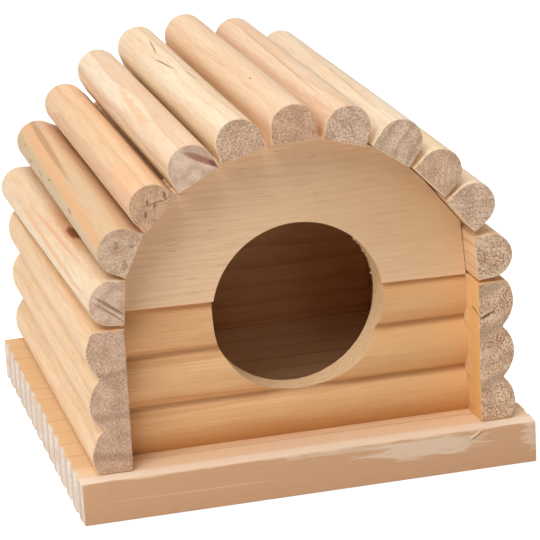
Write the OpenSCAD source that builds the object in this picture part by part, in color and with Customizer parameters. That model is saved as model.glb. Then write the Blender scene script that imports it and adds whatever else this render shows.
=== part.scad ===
// Wooden hamster house: a one-room log cabin of pine on a base board.
// Log-siding walls carry two arched end panels, and eleven D-shaped logs lie over the arches as the roof.
// X runs to the right, Y runs from the entrance to the back, Z runs up from the underside of the base.

/* [Base board] */
// Width of the base board, left to right
base_width = 144; // [138:0.5:170]
// Depth of the base board, front to back
base_depth = 142; // [125:0.5:170]
// Thickness of the base board
base_thickness = 13.4; // [9:0.1:18]
// Strip of the base board in front of the walls
front_margin = 5.3; // [1:0.1:15]

/* [Log siding] */
// Width of the room, between the two side walls
room_width = 111; // [96:0.5:115]
// Length of the two side walls, front to back
wall_length = 140; // [110:0.5:160]
// Thickness of the siding at the crest of a lobe
siding_thickness = 11.4; // [9:0.1:13]
// How much thicker the left wall is than the right one, on the side of the room
left_wall_growth = 0.8; // [0:0.1:0.9]
// Height of a whole lobe of the siding, from groove to groove
lobe_height = 16.5; // [15:0.1:18]
// How much of the lowest lobe is cut off along the lower edge of a board
lower_trim = 2.6; // [0:0.1:4]
// How much of the top lobe is cut off along the upper edge of a board
upper_trim = 1.9; // [0:0.1:4]
// How far a lobe stands out from its edges
lobe_rise = 3.8; // [2:0.1:4.5]
// Radius in the bottom of the grooves between lobes
groove_radius = 0.8; // [0.3:0.1:1.5]
// How far the end walls stand in from the ends of the side walls
end_recess = 11.3; // [4:0.1:20]
// Slant of the front wall's upper edge, which is highest at the left, in degrees
seam_slant = 0.9; // [0:0.1:0.9]

/* [Arched end panels] */
// Radius of the arch
arch_radius = 57.3; // [54:0.1:60]
// How far the centre of the arch lies below the top of the walls
arch_drop = 6.8; // [4:0.1:10]
// Thickness of an arched panel
arch_thickness = 11; // [9:0.1:13]
// Inward lean of the short flat edge under each end log, in degrees
arch_edge_lean = 5; // [2:0.5:8]

/* [Entrance] */
// Radius of the round entrance
entrance_radius = 27.1; // [20:0.1:28]
// How far the centre of the entrance lies below the top of the walls
entrance_drop = 4.1; // [0:0.1:8]
// How far the entrance sits to the right of the middle
entrance_shift = 1.7; // [-3:0.1:3]

/* [Roof logs] */
// Width of the flat underside of a log
log_width = 14.2; // [12:0.1:14.6]
// Height of a log above its flat
log_height = 12; // [10:0.1:15]
// Length of a roof log
log_length = 140; // [110:0.5:160]
// Gap between neighbouring logs at their flats
log_gap = 0.9; // [0.7:0.1:1.5]
// How far the log at the left swings out towards the back, in degrees
first_log_swing = 1.2; // [0:0.1:1.5]
// Thickness of the glue between a log and the arch
glue_line = 0.1; // [0.05:0.05:0.3]

/* [Dowels and nails] */
// Diameter of the dowels between a wall and its arched panel
dowel_diameter = 5; // [4:0.5:6]
// Length of such a dowel
dowel_length = 20; // [14:1:24]
// Diameter of the nails under the base
nail_diameter = 1.8; // [1.4:0.1:2.4]
// Length of the nails under the base
nail_length = 30; // [22:1:34]
// Diameter of a nail's head
nail_head_diameter = 4.4; // [3.4:0.1:5.5]
// Thickness of a nail's head
nail_head_thickness = 0.8; // [0.5:0.1:1.5]
// Diameter of the brads through the side walls
brad_diameter = 1.2; // [1:0.1:1.6]
// Length of the brads through the side walls
brad_length = 25; // [18:1:30]
// Diameter of a brad's head
brad_head_diameter = 1.9; // [1.7:0.1:2.4]
// Thickness of a brad's head
brad_head_thickness = 0.6; // [0.4:0.1:1]

/* [Hidden] */
// How much each log turns off its straight seat, in degrees, left to right
// (the first and last log lie on the flat edges of the panels, and don't turn)
log_turns = [0, 4, -1, -3, 1.5, 2, 0, -5, -1, 9, 0];
// How far each log lies to the left of its even place along the arch
log_shifts = [0, -0.1, 0.6, 0.9, 0.9, 0.2, 0, 0, 0, 0, 0];
// How much each log's width differs from log_width, left to right
log_width_changes = [0, 0.4, 0, 0.4, 0.2, 0.2, 0, 0, 0, 0, 0];
// How much each log's height differs from log_height, left to right
log_height_changes = [-0.6, 0, -0.6, 0, -0.2, 0, 0, 0.6, 0, 0.4, 0];
// How much each log's length differs from log_length, left to right
log_length_changes = [1, 1, -1, -0.5, 1.5, 1.5, -2, -3, 0, 0.5, -0.5];
log_count = len(log_turns);

// Radial clearance round a dowel, nail or brad
hole_clearance = 0.03;
// How far a nail's head is set above the underside of the base
nail_set = 0.4;
// Room left for glue past each end of a dowel
dowel_end_room = 1;
lobe_count = 3;
// Share of the wall length at which the nails under the side walls stand
side_nail_places = [0.27, 0.5, 0.73];
// Length along which a shoulder of the arch may follow its log, before the leaning flat cuts it off
shoulder_reach = 20;
// How far a shoulder stays under the plane that would touch the round of the arch
shoulder_ease = 0.05;
// Amount by which a cut runs past the face that it leaves
cut_past = 1;
round_fn = 96;

wall_height = lobe_count * lobe_height - lower_trim - upper_trim;
wall_top = base_thickness + wall_height;
core_thickness = siding_thickness - lobe_rise;
lobe_radius = (lobe_height * lobe_height / 4 + lobe_rise * lobe_rise) / (2 * lobe_rise);
half_room = room_width / 2;
room_left = left_wall_growth - half_room;
seam_rise = (half_room - room_left) * tan(seam_slant);
arch_centre_z = wall_top - arch_drop;
seat_radius = arch_radius + glue_line;
log_step = (log_width + log_gap) / arch_radius * 180 / PI;
entrance_z = wall_top - entrance_drop;

house_depth = max(wall_length, log_length + max(log_length_changes));
total_depth = max(base_depth, front_margin + house_depth);
base_front_y = -total_depth / 2;
house_front_y = base_front_y + front_margin;
// The two end walls share one length with the room
front_face_y = house_front_y + end_recess;
back_face_y = house_front_y + wall_length - end_recess;
// How much wider the back panel is at the left, so that the swung log lies on it too
back_panel_growth = (back_face_y - arch_thickness - front_face_y) * tan(first_log_swing);
// Middle of the siding's core, where nails and brads run
front_core_y = front_face_y + lobe_rise + core_thickness / 2;
back_core_y = back_face_y - lobe_rise - core_thickness / 2;
side_core_x = half_room + core_thickness / 2;
// Dowels stand in the thickness that the wall top and the arched panel share
shared_thickness = min(siding_thickness, arch_thickness) - lobe_rise;
front_dowel_y = front_face_y + lobe_rise + shared_thickness / 2;
back_dowel_y = back_face_y - lobe_rise - shared_thickness / 2;
dowel_x = (entrance_radius + half_room) / 2;
end_nail_x = entrance_radius + nail_head_diameter;

function log_name(i) = str("roof_log_", i < 10 ? "0" : "", i);
// Seats of the logs on the arch, counted from the left; the first and last lie on the flat edges
function on_edge(i) = i == 1 || i == log_count;
function edge_side(i) = i == 1 ? -1 : 1;
function seat_angle(i) =
    90 + ((log_count + 1) / 2 - i) * log_step + log_shifts[i - 1] / arch_radius * 180 / PI;
function facing_angle(i) = on_edge(i)
    ? 90 - edge_side(i) * (90 - arch_edge_lean)
    : seat_angle(i) + log_turns[i - 1];
// Height of an end log's middle above the wall top, measured along its leaning flat
edge_seat = log_gap + log_width / 2;
function room_side(i) = i == 1 ? -room_left : half_room;
function log_x(i) = on_edge(i)
    ? edge_side(i) * (room_side(i) - edge_seat * sin(arch_edge_lean) + glue_line)
    : seat_radius / cos(log_turns[i - 1]) * cos(seat_angle(i));
function log_z(i) = on_edge(i)
    ? wall_top + edge_seat * cos(arch_edge_lean)
    : arch_centre_z + seat_radius / cos(log_turns[i - 1]) * sin(seat_angle(i));

function groove_height(i) = i * lobe_height - lower_trim;
function crest_height(i) = groove_height(i + 0.5);

// Outlines, drawn flat --------------------------------------------------------

// Siding seen from its end: flat back at x = 0, lobes towards +x, height along y
module siding_outline(height = wall_height, growth = 0) {
    centre_x = siding_thickness - lobe_radius;
    fillet_x = centre_x + sqrt(pow(lobe_radius + groove_radius, 2) - lobe_height * lobe_height / 4);
    difference() {
        union() {
            intersection() {
                square([siding_thickness, height]);
                union() {
                    square([core_thickness, height]);
                    for (i = [0:lobe_count - 1])
                        translate([centre_x, crest_height(i)])
                            circle(r = lobe_radius, $fn = round_fn);
                }
            }
            for (i = [1:lobe_count - 1])
                polygon([
                    [centre_x, crest_height(i - 1)],
                    [fillet_x, groove_height(i)],
                    [centre_x, crest_height(i)]
                ]);
            translate([-growth, 0])
                square([growth + core_thickness, height]);
        }
        for (i = [1:lobe_count - 1])
            translate([fillet_x, groove_height(i)])
                circle(r = groove_radius, $fn = round_fn);
    }
}

// Filled-out shoulder of the arch, flush with the flat of the log next to an end log;
// measured from the centre of the arch
module arch_shoulder(i, side) {
    facing = facing_angle(i);
    touch = (arch_radius - shoulder_ease) * [cos(facing), sin(facing)];
    end = touch + side * shoulder_reach * [sin(facing), -cos(facing)];
    polygon([[0, 0], touch, end, [end.x, 0]]);
}

// Space between the leaning flats of an arched panel: its lower edge along y = 0 at the right,
// rising to the left by left_rise, and the left flat further out by left_growth
module arch_bounds(left_rise, left_growth) {
    top = arch_radius;
    lean = tan(arch_edge_lean);
    left = room_left - left_growth;
    polygon([
        [left + left_rise * lean, left_rise],
        [half_room, 0],
        [half_room - top * lean, top],
        [left + top * lean, top]
    ]);
}

// Log seen from its end: flat underside along y = 0, straight sides, half-round top
module log_outline(height, width) {
    side_height = height - width / 2;
    translate([-width / 2, 0])
        square([width, side_height]);
    translate([0, side_height])
        intersection() {
            circle(d = width, $fn = round_fn);
            translate([-width / 2, 0])
                square([width, width]);
        }
}

// Solids that repeat ----------------------------------------------------------

// Stands an outline up in the XZ plane and gives it a length along +Y
module along_y(length) {
    translate([0, length, 0])
        rotate([90, 0, 0])
            linear_extrude(length)
                children();
}

// Board of siding across the room, with its lobes towards -Y
module end_siding(height) {
    translate([room_left, 0, base_thickness])
        rotate([90, 0, 90])
            linear_extrude(half_room - room_left)
                translate([siding_thickness, 0])
                    mirror([1, 0])
                        siding_outline(height);
}

// Everything under the front wall's slanting upper edge
module under_seam() {
    translate([0, -cut_past, base_thickness])
        along_y(siding_thickness + 2 * cut_past)
            polygon([
                [room_left, 0],
                [half_room, 0],
                [half_room, wall_height],
                [room_left, wall_height + seam_rise]
            ]);
}

module arch_board(left_rise = 0, left_growth = 0) {
    intersection() {
        translate([0, 0, arch_centre_z])
            union() {
                along_y(arch_thickness)
                    circle(r = arch_radius, $fn = 2 * round_fn);
                along_y(arch_thickness)
                    arch_shoulder(2, -1);
                along_y(arch_thickness)
                    arch_shoulder(log_count - 1, 1);
            }
        translate([0, -cut_past, wall_top])
            along_y(arch_thickness + 2 * cut_past)
                arch_bounds(left_rise, left_growth);
    }
}

module entrance_cut(thickness) {
    translate([entrance_shift, -cut_past, entrance_z])
        along_y(thickness + 2 * cut_past)
            circle(r = entrance_radius, $fn = 2 * round_fn);
}

// A dowel upright across the seam, grown by a clearance where it is used as a hole
module dowel(grow = 0, end_room = 0) {
    length = dowel_length + 2 * end_room;
    translate([0, 0, wall_top - length / 2])
        cylinder(d = dowel_diameter + 2 * grow, h = length, $fn = round_fn);
}

module dowels(grow = 0, end_room = 0) {
    for (x = [-dowel_x, dowel_x], y = [front_dowel_y, back_dowel_y])
        translate([x, y, 0])
            dowel(grow, end_room);
}

// A nail pointing up, with the underside of its head plate at z = 0
module nail(grow = 0, head_room = 0) {
    translate([0, 0, -head_room])
        cylinder(d = nail_head_diameter + 2 * grow, h = nail_head_thickness + head_room, $fn = round_fn);
    cylinder(d = nail_diameter + 2 * grow, h = nail_length, $fn = round_fn);
}

module nails(grow = 0, head_room = 0) {
    for (x = [-side_core_x, side_core_x], place = side_nail_places)
        translate([x, house_front_y + place * wall_length, nail_set])
            nail(grow, head_room);
    for (x = [-end_nail_x, end_nail_x], y = [front_core_y, back_core_y])
        translate([x, y, nail_set])
            nail(grow, head_room);
}

// A brad pointing along -X, with its head flush with the bottom of a groove
module brad(grow = 0, head_room = 0) {
    rotate([0, -90, 0]) {
        translate([0, 0, -head_room])
            cylinder(d = brad_head_diameter + 2 * grow, h = brad_head_thickness + head_room, $fn = round_fn);
        cylinder(d = brad_diameter + 2 * grow, h = brad_length, $fn = round_fn);
    }
}

module brads(grow = 0, head_room = 0) {
    for (side = [0, 1])
        mirror([side, 0, 0])
            for (y = [front_core_y, back_core_y], i = [1:lobe_count - 1])
                translate([half_room + core_thickness, y, base_thickness + groove_height(i)])
                    brad(grow, head_room);
}

// Sub-parts -------------------------------------------------------------------

module base_board() {
    color([0.83, 0.66, 0.48])
        difference() {
            translate([-base_width / 2, base_front_y, 0])
                cube([base_width, base_depth, base_thickness]);
            nails(hole_clearance, nail_set + cut_past);
        }
}

module right_wall(growth = 0) {
    color([0.88, 0.71, 0.51])
        difference() {
            translate([half_room, house_front_y, base_thickness])
                along_y(wall_length)
                    siding_outline(growth = growth);
            nails(hole_clearance);
            brads(hole_clearance, lobe_rise);
        }
}

module left_wall() {
    mirror([1, 0, 0])
        right_wall(left_wall_growth);
}

module front_wall() {
    color([0.80, 0.59, 0.36])
        difference() {
            translate([0, front_face_y, 0])
                intersection() {
                    end_siding(wall_height + seam_rise);
                    under_seam();
                }
            translate([0, front_face_y, 0])
                entrance_cut(siding_thickness);
            dowels(hole_clearance, dowel_end_room);
            nails(hole_clearance);
            brads(hole_clearance);
        }
}

module back_wall() {
    color([0.80, 0.59, 0.36])
        difference() {
            translate([0, back_face_y, 0])
                mirror([0, 1, 0])
                    end_siding(wall_height);
            dowels(hole_clearance, dowel_end_room);
            nails(hole_clearance);
            brads(hole_clearance);
        }
}

module front_arch() {
    color([0.87, 0.72, 0.52])
        difference() {
            translate([0, front_face_y, 0])
                arch_board(seam_rise);
            translate([0, front_face_y, 0])
                entrance_cut(arch_thickness);
            dowels(hole_clearance, dowel_end_room);
        }
}

module back_arch() {
    color([0.87, 0.72, 0.52])
        difference() {
            translate([0, back_face_y - arch_thickness, 0])
                arch_board(left_growth = back_panel_growth);
            dowels(hole_clearance, dowel_end_room);
        }
}

// Roof log number i, counted from the left
module roof_log(i) {
    color([0.93, 0.78, 0.58])
        translate([log_x(i), front_face_y, log_z(i)])
            rotate([0, 0, i == 1 ? first_log_swing : 0])
                translate([0, house_front_y - front_face_y, 0])
                    rotate([0, 90 - facing_angle(i), 0])
                        along_y(log_length + log_length_changes[i - 1])
                            log_outline(
                                log_height + log_height_changes[i - 1],
                                log_width + log_width_changes[i - 1]
                            );
}

module arch_dowels() {
    color([0.82, 0.64, 0.42])
        dowels();
}

module wall_brads() {
    color([0.62, 0.62, 0.64])
        brads();
}

module base_nails() {
    color([0.62, 0.62, 0.64])
        nails();
}

base_board();
left_wall();
right_wall();
front_wall();
back_wall();
front_arch();
back_arch();
for (i = [1:log_count])
    roof_log(i);
arch_dowels();
wall_brads();
base_nails();
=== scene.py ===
"""Wooden hamster house: pine boards, log siding and eleven D-shaped roof logs."""

import math
from typing import NamedTuple

import bmesh
import bpy
from mathutils import Matrix, Vector, noise


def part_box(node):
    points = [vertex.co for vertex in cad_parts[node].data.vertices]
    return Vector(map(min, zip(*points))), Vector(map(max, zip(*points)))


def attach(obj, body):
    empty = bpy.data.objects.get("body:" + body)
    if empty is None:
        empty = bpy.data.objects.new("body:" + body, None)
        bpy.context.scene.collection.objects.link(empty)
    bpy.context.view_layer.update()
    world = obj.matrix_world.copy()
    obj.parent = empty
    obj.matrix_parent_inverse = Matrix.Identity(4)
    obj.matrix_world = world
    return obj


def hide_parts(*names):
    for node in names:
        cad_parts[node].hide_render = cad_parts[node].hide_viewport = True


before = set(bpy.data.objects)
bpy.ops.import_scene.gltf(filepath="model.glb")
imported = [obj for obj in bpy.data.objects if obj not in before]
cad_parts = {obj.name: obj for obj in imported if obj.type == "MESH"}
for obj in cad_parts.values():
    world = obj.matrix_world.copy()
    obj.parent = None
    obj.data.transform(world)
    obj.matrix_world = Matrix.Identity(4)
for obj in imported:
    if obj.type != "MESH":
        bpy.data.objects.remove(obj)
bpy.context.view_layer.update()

MM = 0.001

# Sizes ------------------------------------------------------------------------
# Places come from the frame's own pieces, and these are the sizes that a box doesn't tell.

LOBE_COUNT = 3
LOBE_HEIGHT = 16.5 * MM
LOWER_TRIM = 2.6 * MM
UPPER_TRIM = 1.9 * MM
LOBE_RISE = 3.8 * MM
GROOVE_RADIUS = 0.8 * MM
SEAM_SLOPE = math.tan(math.radians(0.9))
ARCH_RADIUS = 57.3 * MM
ARCH_DROP = 6.8 * MM
ARCH_EDGE_LEAN = math.radians(5)
SHOULDER_EASE = 0.05 * MM
ENTRANCE_RADIUS = 27.1 * MM
ENTRANCE_DROP = 4.1 * MM
ENTRANCE_SHIFT = 1.7 * MM
LOG_WIDTH = 14.2 * MM
LOG_HEIGHT = 12 * MM
LOG_LENGTH = 140 * MM
LOG_GAP = 0.9 * MM
# How far the log at the left swings out towards the back
FIRST_LOG_SWING = math.radians(1.2)
GLUE_LINE = 0.1 * MM

# How each roof log differs from its neighbours, left to right: the turn off its straight seat in degrees,
# and in millimetres its shift to the left along the arch, its extra width, height and length
LOG_TURNS = [0, 4, -1, -3, 1.5, 2, 0, -5, -1, 9, 0]
LOG_SHIFTS = [0, -0.1, 0.6, 0.9, 0.9, 0.2, 0, 0, 0, 0, 0]
LOG_WIDTH_CHANGES = [0, 0.4, 0, 0.4, 0.2, 0.2, 0, 0, 0, 0, 0]
LOG_HEIGHT_CHANGES = [-0.6, 0, -0.6, 0, -0.2, 0, 0, 0.6, 0, 0.4, 0]
LOG_LENGTH_CHANGES = [1, 1, -1, -0.5, 1.5, 1.5, -2, -3, 0, 0.5, -0.5]
LOG_COUNT = len(LOG_TURNS)

# Arrises, as the planer and the saw leave them
SOFT_ARRIS = 0.35 * MM
SAWN_ARRIS = 0.22 * MM
# Torn fibres on the room side of the entrance: how far they stand out on each board, how deep their
# band is, and how wide a fibre is
ARCH_FRAY = 1.2 * MM
SIDING_FRAY = 0.3 * MM
FRAY_BAND = 0.8 * MM
FIBRE_WIDTH = 0.5 * MM
# How deep use has worn the siding and the logs, in waves of which length along the grain and across it
SIDING_WEAR = 0.12 * MM
SIDING_WAVE = 45 * MM
LOG_WEAR = 0.3 * MM
LOG_WAVE = 60 * MM
WAVE_ACROSS = 6 * MM

# Steps along each round stretch
LOBE_STEPS = 18
GROOVE_STEPS = 6
LOG_ROUND_STEPS = 36
ARCH_STEPS = 120
SIDING_MOUTH_STEPS = 220
ARCH_MOUTH_STEPS = 200
# Edge loops across each kind of board, for its wear to follow
SIDE_WALL_CUTS = 30
BACK_WALL_CUTS = 24
PANEL_CUTS = 24
LOG_CUTS = 36
BASE_CUTS = 60
# An edge that turns by more is an arris: of a profile, of a flat board, and one that shades sharp
PROFILE_ARRIS = math.radians(32)
BOARD_ARRIS = math.radians(40)
SHARP_ARRIS = math.radians(22)

# The growth rings of the base: their spacing, where the first one ends, and the soft share of each
BASE_RING_SPACING = 10.6 * MM
BASE_FIRST_RING = 0.62
BASE_SOFT_SHARE = 0.45
# How far the soft bands stand back at the sawn ends, how long that dent is, and half the step beside it
BASE_TOOTH = 0.4 * MM
BASE_TOOTH_LENGTH = 0.6 * MM
BASE_TOOTH_SLOPE = 0.15 * MM
# How far the top front edge of the base is worn back and down, in waves of which length
BASE_WEAR_BACK = 0.35 * MM
BASE_WEAR_DOWN = 0.25 * MM
BASE_WEAR_WAVE = 5 * MM

base_low, base_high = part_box("base_board")
side_low, side_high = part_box("right_wall")
front_low, front_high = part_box("front_wall")
back_low, back_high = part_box("back_wall")
arch_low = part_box("front_arch")[0]
back_arch_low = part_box("back_arch")[0]

HALF_ROOM = side_low[0]
ROOM_LEFT = front_low[0]
WALL_TOP = side_high[2]
WALL_HEIGHT = side_high[2] - side_low[2]
SIDING_THICKNESS = side_high[0] - side_low[0]
SEAM_RISE = (HALF_ROOM - ROOM_LEFT) * SEAM_SLOPE
LOBE_RADIUS = (LOBE_HEIGHT ** 2 / 4 + LOBE_RISE ** 2) / (2 * LOBE_RISE)
# Centre of a lobe's curve and of a groove's, measured outwards from the siding's flat back
LOBE_CENTRE = SIDING_THICKNESS - LOBE_RADIUS
GROOVE_CENTRE = LOBE_CENTRE + math.sqrt((LOBE_RADIUS + GROOVE_RADIUS) ** 2 - LOBE_HEIGHT ** 2 / 4)
# Angle, seen from a lobe's centre, at which a lobe runs over into the groove beside it
GROOVE_REACH = math.asin(LOBE_HEIGHT / 2 / (LOBE_RADIUS + GROOVE_RADIUS))
ARCH_CENTRE_Z = WALL_TOP - ARCH_DROP
HOUSE_FRONT = side_low[1]
# The front face of the base in the base board's own millimetres, which run from back to front
FRONT_EDGE = -base_low[1] / MM
ENTRANCE_Z = WALL_TOP - ENTRANCE_DROP


# Shapes -----------------------------------------------------------------------

def outline_face(bm, start, moves):
    """Fills an outline in the XZ plane, made of straight lines and arcs, seen from the front."""
    first = bm.verts.new((start[0], 0, start[1]))
    last = first
    for kind, *values in moves:
        if kind == "line":
            corner = bm.verts.new((values[0][0], 0, values[0][1]))
            bm.edges.new((last, corner))
            last = corner
        else:
            centre, turn, steps = values
            spun = bmesh.ops.spin(
                bm, geom=[last], cent=(centre[0], 0, centre[1]), axis=(0, -1, 0), angle=turn, steps=steps)
            last = next(item for item in spun["geom_last"] if isinstance(item, bmesh.types.BMVert))
    bm.edges.new((last, first))
    bmesh.ops.contextual_create(bm, geom=bm.edges[:])


def move(bm, vec):
    bmesh.ops.translate(bm, verts=bm.verts[:], vec=vec)


def face_outwards(bm):
    bmesh.ops.recalc_face_normals(bm, faces=bm.faces[:])


def thicken(bm, length):
    """Gives a flat outline a length along +Y."""
    grown = bmesh.ops.extrude_face_region(bm, geom=bm.faces[:])
    corners = [item for item in grown["geom"] if isinstance(item, bmesh.types.BMVert)]
    bmesh.ops.translate(bm, verts=corners, vec=(0, length, 0))
    face_outwards(bm)


def cut_across(bm, places, direction):
    """Adds an edge loop at each place along a direction."""
    normal = Vector(direction)
    for place in places:
        bmesh.ops.bisect_plane(
            bm, geom=bm.verts[:] + bm.edges[:] + bm.faces[:], plane_co=normal * place, plane_no=normal)


def even_places(low, high, count):
    """Places of `count` cuts that share a length evenly."""
    return [low + (high - low) * (i + 1) / (count + 1) for i in range(count)]


def soften(bm, width, over=PROFILE_ARRIS):
    """Rounds every arris that turns by more than `over`."""
    arrises = [
        edge for edge in bm.edges
        if len(edge.link_faces) == 2 and edge.calc_face_angle_signed(0) > over
    ]
    bmesh.ops.bevel(
        bm, geom=arrises, offset=width, offset_type="OFFSET", segments=2, profile=0.5,
        affect="EDGES", clamp_overlap=True, material=-1)


def roughen(bm, depth, length, grain_axis, seed):
    """Wears the faces in by up to `depth`, in waves that run `length` along the grain."""
    bm.normal_update()
    stretch = [1 / WAVE_ACROSS] * 3
    stretch[grain_axis] = 1 / length
    moved = []
    for corner in bm.verts:
        spot = Vector([corner.co[i] * stretch[i] for i in range(3)]) + Vector((seed * 7.3, seed * 3.1, seed))
        inwards = -corner.normal
        inwards[grain_axis] = 0
        moved.append((corner, inwards * depth * (0.5 + 0.5 * noise.noise(spot))))
    for corner, inset in moved:
        corner.co += inset


def mark_faces(bm, grain_axis, is_sawn_hole=None, end_from=0.9):
    """Gives end grain the second material and a sawn hole the third, and sets which edges shade sharp."""
    bm.normal_update()
    for face in bm.faces:
        face.material_index = 1 if abs(face.normal[grain_axis]) > end_from else 0
        if is_sawn_hole is not None and is_sawn_hole(face):
            face.material_index = 2
        face.smooth = True
    for edge in bm.edges:
        edge.smooth = len(edge.link_faces) != 2 or edge.calc_face_angle(0) < SHARP_ARRIS


def show(name, data):
    """Puts a mesh, a lamp or a camera into the scene."""
    shown = bpy.data.objects.new(name, data)
    bpy.context.scene.collection.objects.link(shown)
    return shown


def finish_piece(name, bm, materials, node):
    """Turns a shape into an object that stands for its node."""
    mesh = bpy.data.meshes.new(name)
    bm.to_mesh(mesh)
    bm.free()
    for material in materials:
        mesh.materials.append(material)
    piece = show(name, mesh)
    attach(piece, "root")
    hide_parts(node)


# Boards and logs --------------------------------------------------------------

def groove_height(number):
    """Height of a groove above the siding's lower edge; half numbers give the crests."""
    return number * LOBE_HEIGHT - LOWER_TRIM


def siding_profile(growth):
    """Outline of the siding seen from its end, from its lower outer corner upwards."""
    lowest = math.asin((LOBE_HEIGHT / 2 - LOWER_TRIM) / LOBE_RADIUS)
    highest = math.asin((LOBE_HEIGHT / 2 - UPPER_TRIM) / LOBE_RADIUS)
    start = (LOBE_CENTRE + LOBE_RADIUS * math.cos(lowest), 0)
    moves = []
    for i in range(LOBE_COUNT):
        centre = (LOBE_CENTRE, groove_height(i + 0.5))
        below = lowest if i == 0 else GROOVE_REACH
        above = highest if i == LOBE_COUNT - 1 else GROOVE_REACH
        moves.append(("arc", centre, below + above, LOBE_STEPS))
        if i < LOBE_COUNT - 1:
            groove = (GROOVE_CENTRE, groove_height(i + 1))
            moves.append(("arc", groove, -2 * GROOVE_REACH, GROOVE_STEPS))
    moves.append(("line", (-growth, WALL_HEIGHT)))
    moves.append(("line", (-growth, 0)))
    return start, moves


def siding_length(length, cuts, growth=0.0):
    """A length of siding along Y, with its flat back at x = -growth and its lobes towards +X."""
    bm = bmesh.new()
    start, moves = siding_profile(growth)
    outline_face(bm, start, moves)
    thicken(bm, length)
    soften(bm, SOFT_ARRIS)
    cut_across(bm, even_places(0, length, cuts), (0, 1, 0))
    return bm


def side_wall(name, side, materials):
    low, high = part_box(name)
    growth = high[0] - low[0] - SIDING_THICKNESS
    bm = siding_length(high[1] - low[1], SIDE_WALL_CUTS, growth)
    roughen(bm, SIDING_WEAR, SIDING_WAVE, 1, seed=side + 3)
    if side < 0:
        bmesh.ops.scale(bm, vec=(-1, 1, 1), verts=bm.verts[:])
        bmesh.ops.reverse_faces(bm, faces=bm.faces[:])
    move(bm, (side * HALF_ROOM, low[1], low[2]))
    face_outwards(bm)
    mark_faces(bm, 1)
    finish_piece(name + "_board", bm, materials, name)


def lobe_depth(height):
    """How far the siding's face lies behind its crest, at a height above the siding's lower edge."""
    place = (height + LOWER_TRIM) / LOBE_HEIGHT
    groove = round(place)
    off_groove = abs(height - groove_height(groove))
    fillet_half = GROOVE_RADIUS * LOBE_HEIGHT / 2 / (LOBE_RADIUS + GROOVE_RADIUS)
    if 0 < groove < LOBE_COUNT and off_groove < fillet_half:
        outwards = GROOVE_CENTRE - math.sqrt(GROOVE_RADIUS ** 2 - off_groove ** 2)
        return SIDING_THICKNESS - outwards
    lobe = min(LOBE_COUNT - 1, int(place))
    off_crest = height - groove_height(lobe + 0.5)
    return LOBE_RADIUS - math.sqrt(max(0, LOBE_RADIUS ** 2 - off_crest ** 2))


def lobe_levels(top):
    """Heights of the edge loops that carry the lobes, closer together near the grooves."""
    levels = []
    margin = 0.1 * MM
    half = LOBE_STEPS // 2
    for i in range(LOBE_COUNT):
        for step in range(-half, half + 1):
            angle = GROOVE_REACH * step / half
            levels.append(groove_height(i + 0.5) + LOBE_RADIUS * math.sin(angle))
    for i in range(1, LOBE_COUNT):
        levels.extend(groove_height(i) + GROOVE_RADIUS * 0.14 * step for step in range(-4, 5))
    return sorted(level for level in levels if margin < level < top - margin)


def seam_height(x):
    """Height of the seam between the front wall and its arch above the wall top."""
    return (HALF_ROOM - x) * SEAM_SLOPE


def entrance_over_seam():
    """Angle of the entrance's arc over the seam, and the arc's ends (x, height above the wall top)."""
    drop = ENTRANCE_DROP + seam_height(ENTRANCE_SHIFT)
    square = 1 + SEAM_SLOPE ** 2
    half = math.sqrt((drop * SEAM_SLOPE) ** 2 - square * (drop ** 2 - ENTRANCE_RADIUS ** 2))
    corners = []
    angles = []
    for side in (-1, 1):
        across = (drop * SEAM_SLOPE + side * half) / square
        corners.append((ENTRANCE_SHIFT + across, seam_height(ENTRANCE_SHIFT + across)))
        angles.append(math.atan2(drop - across * SEAM_SLOPE, across))
    return angles[1] - angles[0], *corners


def in_entrance(face):
    """Whether a face belongs to the wall of the entrance."""
    middle = face.calc_center_median()
    off = math.hypot(middle.x - ENTRANCE_SHIFT, middle.z - ENTRANCE_Z)
    return off < ENTRANCE_RADIUS + 0.5 * SAWN_ARRIS and abs(face.normal.y) < 0.5


def fray(bm, back, length):
    """Leaves torn fibres where the hole saw came out of a board's back."""
    cut_across(bm, [back - FRAY_BAND], (0, 1, 0))
    for corner in bm.verts:
        away = Vector((corner.co.x - ENTRANCE_SHIFT, 0, corner.co.z - ENTRANCE_Z))
        if corner.co.y > back - 0.5 * FRAY_BAND and away.length < ENTRANCE_RADIUS + SAWN_ARRIS:
            torn = max(0, noise.noise(corner.co / FIBRE_WIDTH))
            corner.co -= away.normalized() * length * torn


def front_siding(materials):
    """The lower front board: lobes across the room, with the lower half of the entrance."""
    over, _, right = entrance_over_seam()
    top = WALL_HEIGHT + SEAM_RISE
    bm = bmesh.new()
    outline_face(bm, (ROOM_LEFT, 0), [
        ("line", (HALF_ROOM, 0)),
        ("line", (HALF_ROOM, WALL_HEIGHT)),
        ("line", (right[0], WALL_HEIGHT + right[1])),
        ("arc", (ENTRANCE_SHIFT, WALL_HEIGHT - ENTRANCE_DROP), -over - 2 * math.pi, SIDING_MOUTH_STEPS),
        ("line", (ROOM_LEFT, top)),
    ])
    cut_across(bm, lobe_levels(top), (0, 0, 1))
    thicken(bm, SIDING_THICKNESS)
    for corner in bm.verts:
        if corner.co.y < SIDING_THICKNESS / 2:
            corner.co.y = lobe_depth(corner.co.z)
    soften(bm, SAWN_ARRIS, over=BOARD_ARRIS)
    move(bm, (0, front_low[1], front_low[2]))
    fray(bm, front_high[1], SIDING_FRAY)
    face_outwards(bm)
    mark_faces(bm, 0, in_entrance)
    finish_piece("front_siding", bm, materials, "front_wall")


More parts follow.
